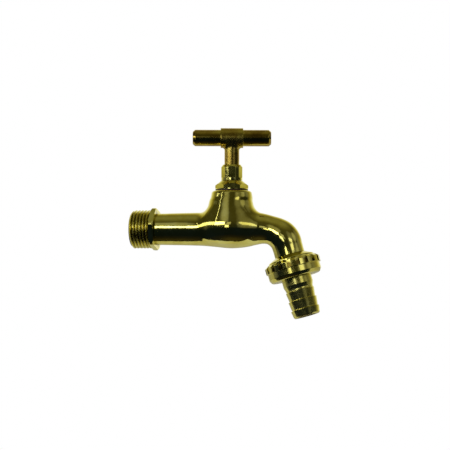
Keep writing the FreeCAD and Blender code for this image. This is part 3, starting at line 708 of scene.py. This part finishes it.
# Moulded nitrile rubber: matt black, faintly dusty.
black_rubber = dull_material("moulded_rubber", ("#141414", "#232323"), 0.62, 1.2, 0.02)
# Vulcanised fibre: pressed sheet, dark red once it has taken up oil.
red_fibre = dull_material("vulcanised_fibre", ("#2A140C", "#3A1E12"), 0.55, 0.8, 0.015)
# Greased packing yarn: pale strands pressed together.
packing_yarn = dull_material("greased_packing_yarn", ("#A39C83", "#C9C2AA"), 0.7, 0.5, 0.06)

SLOT_MATERIALS = {
    "cast_brass": cast_brass, "turned_brass": turned_brass, "spindle_brass": handled_brass,
    "spring_bronze": spring_bronze, "black_rubber": black_rubber, "fibre": red_fibre,
    "packing_yarn": packing_yarn,
}


def dress(piece, body, slot, material, *nodes):
    """Material and body for a piece, and the CAD nodes that it stands for. The slot is not used."""
    piece.data.transform(piece.matrix_world)
    piece.matrix_world = Matrix()
    piece.data.materials.clear()
    piece.data.materials.append(material)
    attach(piece, body)
    if nodes:
        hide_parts(*nodes)


dress(cast_body(), "tap", "cast_brass", cast_brass, "tap_body")
dress(inlet_thread(), "tap", "cast_brass", threaded_brass)
dress(headwork(), "tap", "turned_brass", turned_brass, "headwork")
dress(gland_nut(), "tap", "turned_brass", turned_brass, "gland_nut")
dress(spindle(), "handle", "spindle_brass", handled_brass, "spindle")
dress(tee_bar(), "handle", "spindle_brass", bar_brass, "tee_bar")
dress(union_nut(), "nut", "turned_brass", nut_brass, "union_nut")
dress(hose_tail(), "tail", "turned_brass", tail_brass, "hose_tail")

# The pieces inside are shown as packed.
INNER_NODES = ("headwork_gasket", "gland_packing", "jumper", "jumper_clip", "valve_washer", "washer_nut",
               "hose_washer")
for subpart in frame["record"]["subparts"]:
    if subpart["node"] in INNER_NODES:
        node = frame["nodes"][subpart["node"]]
        node.data.materials.clear()
        node.data.materials.append(SLOT_MATERIALS[subpart["material_slot"]])

# Camera

CAMERA_AZIMUTH = math.radians(13.5)
CAMERA_ELEVATION = math.radians(-2.0)
CAMERA_DISTANCE = 1.5
CAMERA_ROLL = math.radians(0.2)
CAMERA_LENS = 220.2
# Millimetres that the camera aims to the right of and above the stem axis's foot
AIM_RIGHT = -3.62
AIM_UP = 2.13
back = Vector((math.sin(CAMERA_AZIMUTH) * math.cos(CAMERA_ELEVATION),
               -math.cos(CAMERA_AZIMUTH) * math.cos(CAMERA_ELEVATION), math.sin(CAMERA_ELEVATION)))
right = Vector((math.cos(CAMERA_AZIMUTH), math.sin(CAMERA_AZIMUTH), 0.0))
upwards = back.cross(right)
aim = (Vector((STEM_ALONG, 0.0, 0.0)) + right * AIM_RIGHT + upwards * AIM_UP) * MM

camera = bpy.data.objects.new("camera", bpy.data.cameras.new("camera"))
bpy.context.collection.objects.link(camera)
camera.data.lens = CAMERA_LENS
camera.location = aim + back * CAMERA_DISTANCE
camera.rotation_mode = "QUATERNION"
camera.rotation_quaternion = (-back).to_track_quat("-Z", "Y") @ Quaternion((0, 0, 1), CAMERA_ROLL)
camera.data.clip_end = 20.0
bpy.context.scene.camera = camera

# Floor, world and lamps

FLOOR_HEIGHT = -0.33
FLOOR_WIDTH = 6000
FLOOR_FRONT = 60
FLOOR_BACK = 4000
FLOOR_GLOW = 0.15


def pale_floor():
    """A pale floor that starts behind the tap, under the camera's view."""
    half = FLOOR_WIDTH / 2
    floor = new_object("floor", [(-half, FLOOR_FRONT, 0), (half, FLOOR_FRONT, 0), (half, FLOOR_BACK, 0),
                                 (-half, FLOOR_BACK, 0)],
                       [(0, 1, 2, 3)], Matrix.Translation((0, 0, FLOOR_HEIGHT)))
    material, tree, shader, _ = start_material("pale_painted_board", Roughness=0.9)
    shader.inputs["Base Color"].default_value = linear("#F4F4F4")
    # The lamps stand too level to light the floor, so the eye and the metal see it paler than it is lit.
    shader.inputs["Emission Color"].default_value = (1, 1, 1, 1)
    ray = add_node(tree, "ShaderNodeLightPath")
    mirrored = add_node(tree, "ShaderNodeMath", {"operation": "ADD"}, {
        0: ray.outputs["Is Glossy Ray"], 1: ray.outputs["Is Transmission Ray"]})
    seen = add_node(tree, "ShaderNodeMath", {"operation": "ADD"}, {
        0: mirrored.outputs["Value"], 1: ray.outputs["Is Camera Ray"]})
    glow = add_node(tree, "ShaderNodeMath", {"operation": "MULTIPLY"}, {
        0: seen.outputs["Value"], 1: FLOOR_GLOW})
    tree.links.new(glow.outputs["Value"], shader.inputs["Emission Strength"])
    floor.data.materials.append(material)


pale_floor()


def direction(azimuth, elevation):
    """A unit vector that many degrees right of the way to the camera and above the horizon."""
    azimuth, elevation = CAMERA_AZIMUTH + math.radians(azimuth), math.radians(elevation)
    return Vector((math.sin(azimuth) * math.cos(elevation), -math.cos(azimuth) * math.cos(elevation),
                   math.sin(elevation)))


# Soft glows that the metal mirrors: azimuth and elevation, the angles at which each glow starts to fade and
# has faded, all in degrees, and its brightness.
GLOWS = [
    (-30, 31, 1, 19, 0.28), (68, 27, 2, 17, 0.34), (38, 24, 6, 22, 0.12), (100, 25, 4, 22, 0.15),
    (30, 11, 4, 18, 0.16), (-96, 2, 4, 24, 0.16),
]
# Cosines towards the camera at which the backdrop starts and is full, how far it draws in above and below,
# and the part of it that lights what doesn't mirror.
BACKDROP_NEAR = -0.05
BACKDROP_FAR = -0.9
BACKDROP_HEIGHT_FADE = 0.32
BACKDROP_LIGHT = 0.6


def studio_world():
    """A white backdrop behind the tap and a dim studio in front of it, as its mirror finish shows them."""
    world = bpy.data.worlds.new("studio")
    bpy.context.scene.world = world
    world.use_nodes = True
    tree = world.node_tree
    tree.nodes.clear()
    way = add_node(tree, "ShaderNodeTexCoord").outputs["Generated"]
    height = add_node(tree, "ShaderNodeSeparateXYZ", {}, {"Vector": way}).outputs["Z"]
    level = add_node(tree, "ShaderNodeMapRange", {}, {"Value": height, "From Min": -1.0, "From Max": 1.0})
    dim = add_node(tree, "ShaderNodeValToRGB", {}, {"Fac": level.outputs["Result"]}, [
        (0.0, (0.05, 0.04, 0.015, 1)), (0.05, (0.015, 0.013, 0.010, 1)), (0.14, (0.005, 0.008, 0.016, 1)),
        (0.44, (0.005, 0.009, 0.018, 1)), (0.5, (0.016, 0.020, 0.018, 1)), (0.62, (0.045, 0.042, 0.016, 1)),
        (0.86, (0.07, 0.064, 0.026, 1)), (0.93, (0.13, 0.12, 0.05, 1)),
        (0.985, (0.22, 0.21, 0.11, 1))]).outputs["Color"]
    for azimuth, elevation, inner, outer, brightness in GLOWS:
        facing = add_node(tree, "ShaderNodeVectorMath", {"operation": "DOT_PRODUCT"}, {
            0: way, 1: direction(azimuth, elevation)})
        glow = add_node(tree, "ShaderNodeMapRange", {"interpolation_type": "SMOOTHSTEP"}, {
            "Value": facing.outputs["Value"], "From Min": math.cos(math.radians(outer)),
            "From Max": math.cos(math.radians(inner)), "To Max": brightness})
        dim = add_node(tree, "ShaderNodeVectorMath", {"operation": "ADD"}, {
            0: dim, 1: glow.outputs["Result"]}).outputs["Vector"]
    facing = add_node(tree, "ShaderNodeVectorMath", {"operation": "DOT_PRODUCT"}, {
        0: way, 1: direction(0, 0)})
    off_level = add_node(tree, "ShaderNodeMath", {"operation": "ABSOLUTE"}, {0: height})
    faded = add_node(tree, "ShaderNodeMath", {"operation": "MULTIPLY_ADD"}, {
        0: off_level.outputs["Value"], 1: BACKDROP_HEIGHT_FADE, 2: facing.outputs["Value"]})
    behind = add_node(tree, "ShaderNodeMapRange", {}, {
        "Value": faded.outputs["Value"], "From Min": BACKDROP_NEAR, "From Max": BACKDROP_FAR})
    # The backdrop's rim is dim and warm, and it is full white straight behind the tap.
    backdrop = add_node(tree, "ShaderNodeValToRGB", {}, {"Fac": behind.outputs["Result"]}, [
        (0.0, (0, 0, 0, 1)), (0.25, (0.17, 0.14, 0.03, 1)), (0.5, (0.46, 0.42, 0.16, 1)),
        (0.7, (0.74, 0.71, 0.42, 1)), (0.95, (1, 1, 1, 1))])
    ray = add_node(tree, "ShaderNodeLightPath")
    mirrored = add_node(tree, "ShaderNodeMath", {"operation": "ADD"}, {
        0: ray.outputs["Is Glossy Ray"], 1: ray.outputs["Is Transmission Ray"]})
    share = add_node(tree, "ShaderNodeMapRange", {}, {
        "Value": mirrored.outputs["Value"], "To Min": BACKDROP_LIGHT})
    backdrop = add_node(tree, "ShaderNodeVectorMath", {"operation": "SCALE"}, {
        0: backdrop.outputs["Color"], "Scale": share.outputs["Result"]})
    in_front = add_node(tree, "ShaderNodeMix", {"data_type": "RGBA"}, {
        0: behind.outputs["Result"], 6: dim, 7: (0, 0, 0, 1)})
    around = add_node(tree, "ShaderNodeVectorMath", {"operation": "ADD"}, {
        0: in_front.outputs[2], 1: backdrop.outputs["Vector"]})
    seen = add_node(tree, "ShaderNodeMix", {"data_type": "RGBA"}, {
        0: ray.outputs["Is Camera Ray"], 6: around.outputs["Vector"], 7: (1, 1, 1, 1)})
    background = add_node(tree, "ShaderNodeBackground", {}, {"Color": seen.outputs[2], "Strength": 1.0})
    add_node(tree, "ShaderNodeOutputWorld", {}, {"Surface": background.outputs["Background"]})


studio_world()


def softbox(name, azimuth, elevation, width, height, radiance, distance=1.25, mirrored=True):
    """A rectangular lamp that faces the tap. Radiance 1 shows as white in a mirror."""
    lamp = bpy.data.lights.new(name, "AREA")
    lamp.shape = "RECTANGLE"
    lamp.size, lamp.size_y = width, height
    lamp.energy = radiance * math.pi * width * height
    piece = bpy.data.objects.new(name, lamp)
    bpy.context.collection.objects.link(piece)
    way = direction(azimuth, elevation)
    piece.location = Vector((STEM_ALONG * MM, 0.0, 0.0)) + way * distance
    piece.rotation_mode = "QUATERNION"
    piece.rotation_quaternion = way.to_track_quat("Z", "Y")
    piece.visible_glossy = mirrored


softbox("box_left", -44.3, 13, 0.80, 0.26, 4.2)
softbox("box_side", -78, 13, 0.60, 0.25, 2.0)
softbox("box_right", -10, 13, 0.33, 0.23, 0.5)
softbox("box_far_right", 32, 13.5, 0.44, 0.20, 0.9)
softbox("spout_strip", -18, 2.2, 0.11, 0.06, 2.5, distance=0.446)
softbox("bell_strip", -61, 27, 0.03, 0.42, 3.0)
softbox("fill", 0, 60, 1.2, 1.2, 1.6, mirrored=False)
